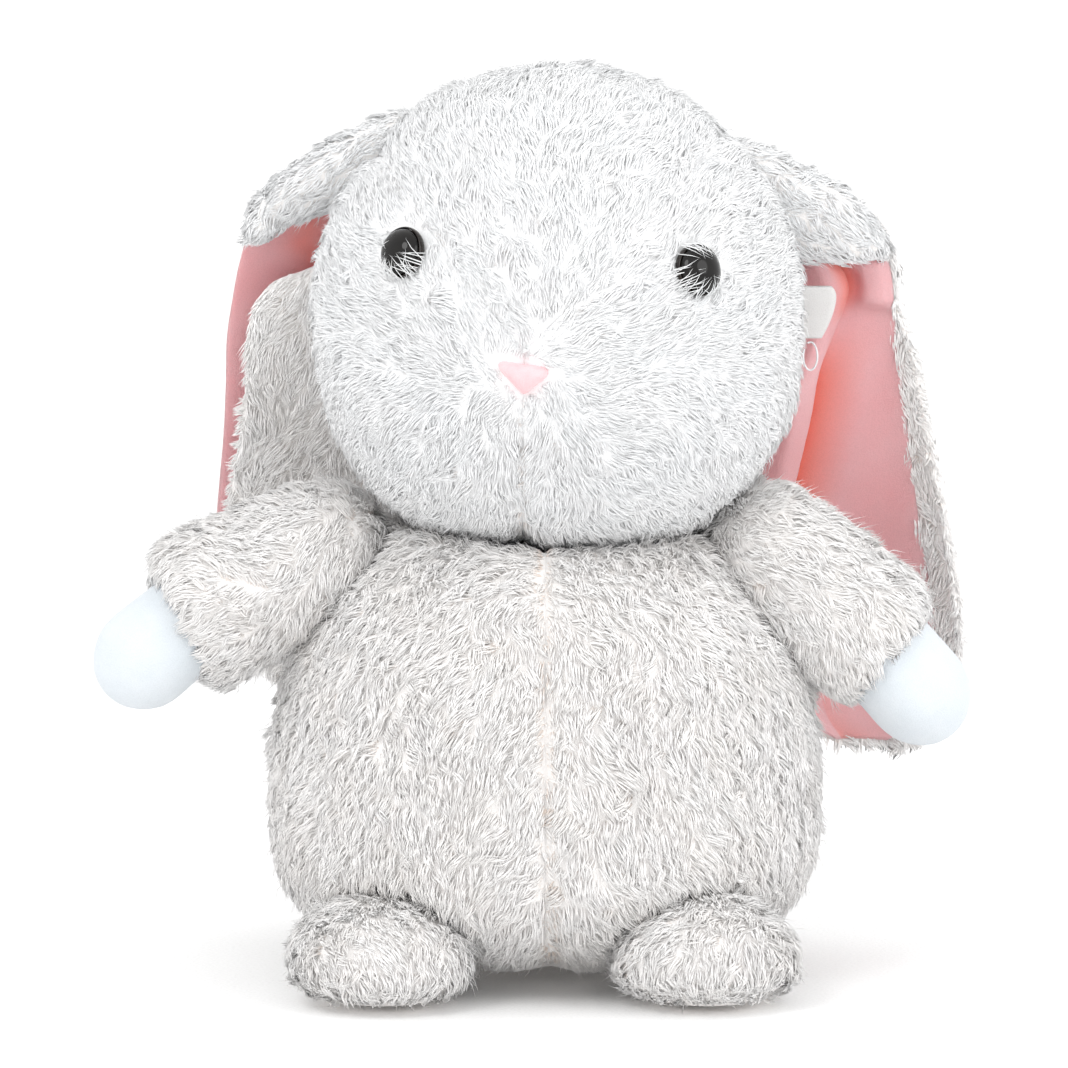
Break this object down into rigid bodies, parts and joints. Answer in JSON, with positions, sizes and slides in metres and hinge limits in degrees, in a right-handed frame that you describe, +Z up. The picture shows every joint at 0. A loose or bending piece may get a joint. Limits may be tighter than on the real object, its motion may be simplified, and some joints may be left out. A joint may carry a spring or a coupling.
{
  "type": "stuffed rabbit toy",
  "caption": "Round-bodied stuffed rabbit in pale plush, with long hanging lined ears, bead eyes, a sewn nose, stub arms with smooth paws and short feet.",
  "frame": {"origin": "on the surface the toy rests on, under the middle of the body's base", "axes": "+Z up, the face looks along -Y, +X is the toy's own left side"},
  "size_m": [0.2907, 0.2185, 0.3],
  "materials": {
    "head_plush": "matte",
    "body_plush": "matte",
    "paw_velour": "matte",
    "ear_satin": "satin",
    "nose_velour": "matte",
    "eye_plastic": "gloss",
    "washer_plastic": "matte",
    "label_ribbon": "satin",
    "stuffing": "matte",
    "pouch_cloth": "matte"
  },
  "bodies": {
    "torso": {"body_front_left": "body_plush", "body_front_right": "body_plush", "body_back_left": "body_plush", "body_back_right": "body_plush", "body_base": "body_plush", "body_stuffing": "stuffing", "pellet_pouch": "pouch_cloth", "tail_cover": "body_plush", "tail_stuffing": "stuffing"},
    "head": {"head_forehead": "head_plush", "head_cheek_left": "head_plush", "head_cheek_right": "head_plush", "head_back": "head_plush", "head_stuffing": "stuffing", "eye_left": "eye_plastic", "eye_right": "eye_plastic", "eye_washer_left": "washer_plastic", "eye_washer_right": "washer_plastic", "nose": "nose_velour", "seam_label": "label_ribbon"},
    "ear_left": {"ear_plush_left": "body_plush", "ear_lining_left": "ear_satin"},
    "ear_right": {"ear_plush_right": "body_plush", "ear_lining_right": "ear_satin"},
    "arm_left": {"arm_sleeve_left": "body_plush", "paw_left": "paw_velour", "arm_stuffing_left": "stuffing"},
    "arm_right": {"arm_sleeve_right": "body_plush", "paw_right": "paw_velour", "arm_stuffing_right": "stuffing"},
    "foot_left": {"foot_upper_left": "body_plush", "foot_sole_left": "body_plush", "foot_stuffing_left": "stuffing"},
    "foot_right": {"foot_upper_right": "body_plush", "foot_sole_right": "body_plush", "foot_stuffing_right": "stuffing"}
  },
  "joints": [
    {"name": "head_nod", "type": "hinge", "parent": "torso", "child": "head", "pos_m": [0.004, -0.003, 0.219], "axis": [1, 0, 0], "range_deg": [-3, 15], "stiffness_Nm_per_rad": 1.2},
    {"name": "ear_left_lift", "type": "hinge", "parent": "head", "child": "ear_left", "pos_m": [0.065, 0.01, 0.281], "axis": [0, -1, 0], "range_deg": [0, 100]},
    {"name": "ear_right_lift", "type": "hinge", "parent": "head", "child": "ear_right", "pos_m": [-0.065, 0.01, 0.281], "axis": [0, 1, 0], "range_deg": [0, 100]},
    {"name": "arm_left_lift", "type": "hinge", "parent": "torso", "child": "arm_left", "pos_m": [0.073, -0.008, 0.139], "axis": [0, -1, 0], "range_deg": [0, 60], "stiffness_Nm_per_rad": 0.15},
    {"name": "arm_right_lift", "type": "hinge", "parent": "torso", "child": "arm_right", "pos_m": [-0.073, -0.008, 0.139], "axis": [0, 1, 0], "range_deg": [0, 45], "stiffness_Nm_per_rad": 0.15},
    {"name": "foot_left_bend", "type": "hinge", "parent": "torso", "child": "foot_left", "pos_m": [0.052, -0.045, 0.02], "axis": [-1, 0, 0], "range_deg": [0, 15], "stiffness_Nm_per_rad": 0.1},
    {"name": "foot_right_bend", "type": "hinge", "parent": "torso", "child": "foot_right", "pos_m": [-0.052, -0.045, 0.02], "axis": [-1, 0, 0], "range_deg": [0, 15], "stiffness_Nm_per_rad": 0.1}
  ]
}
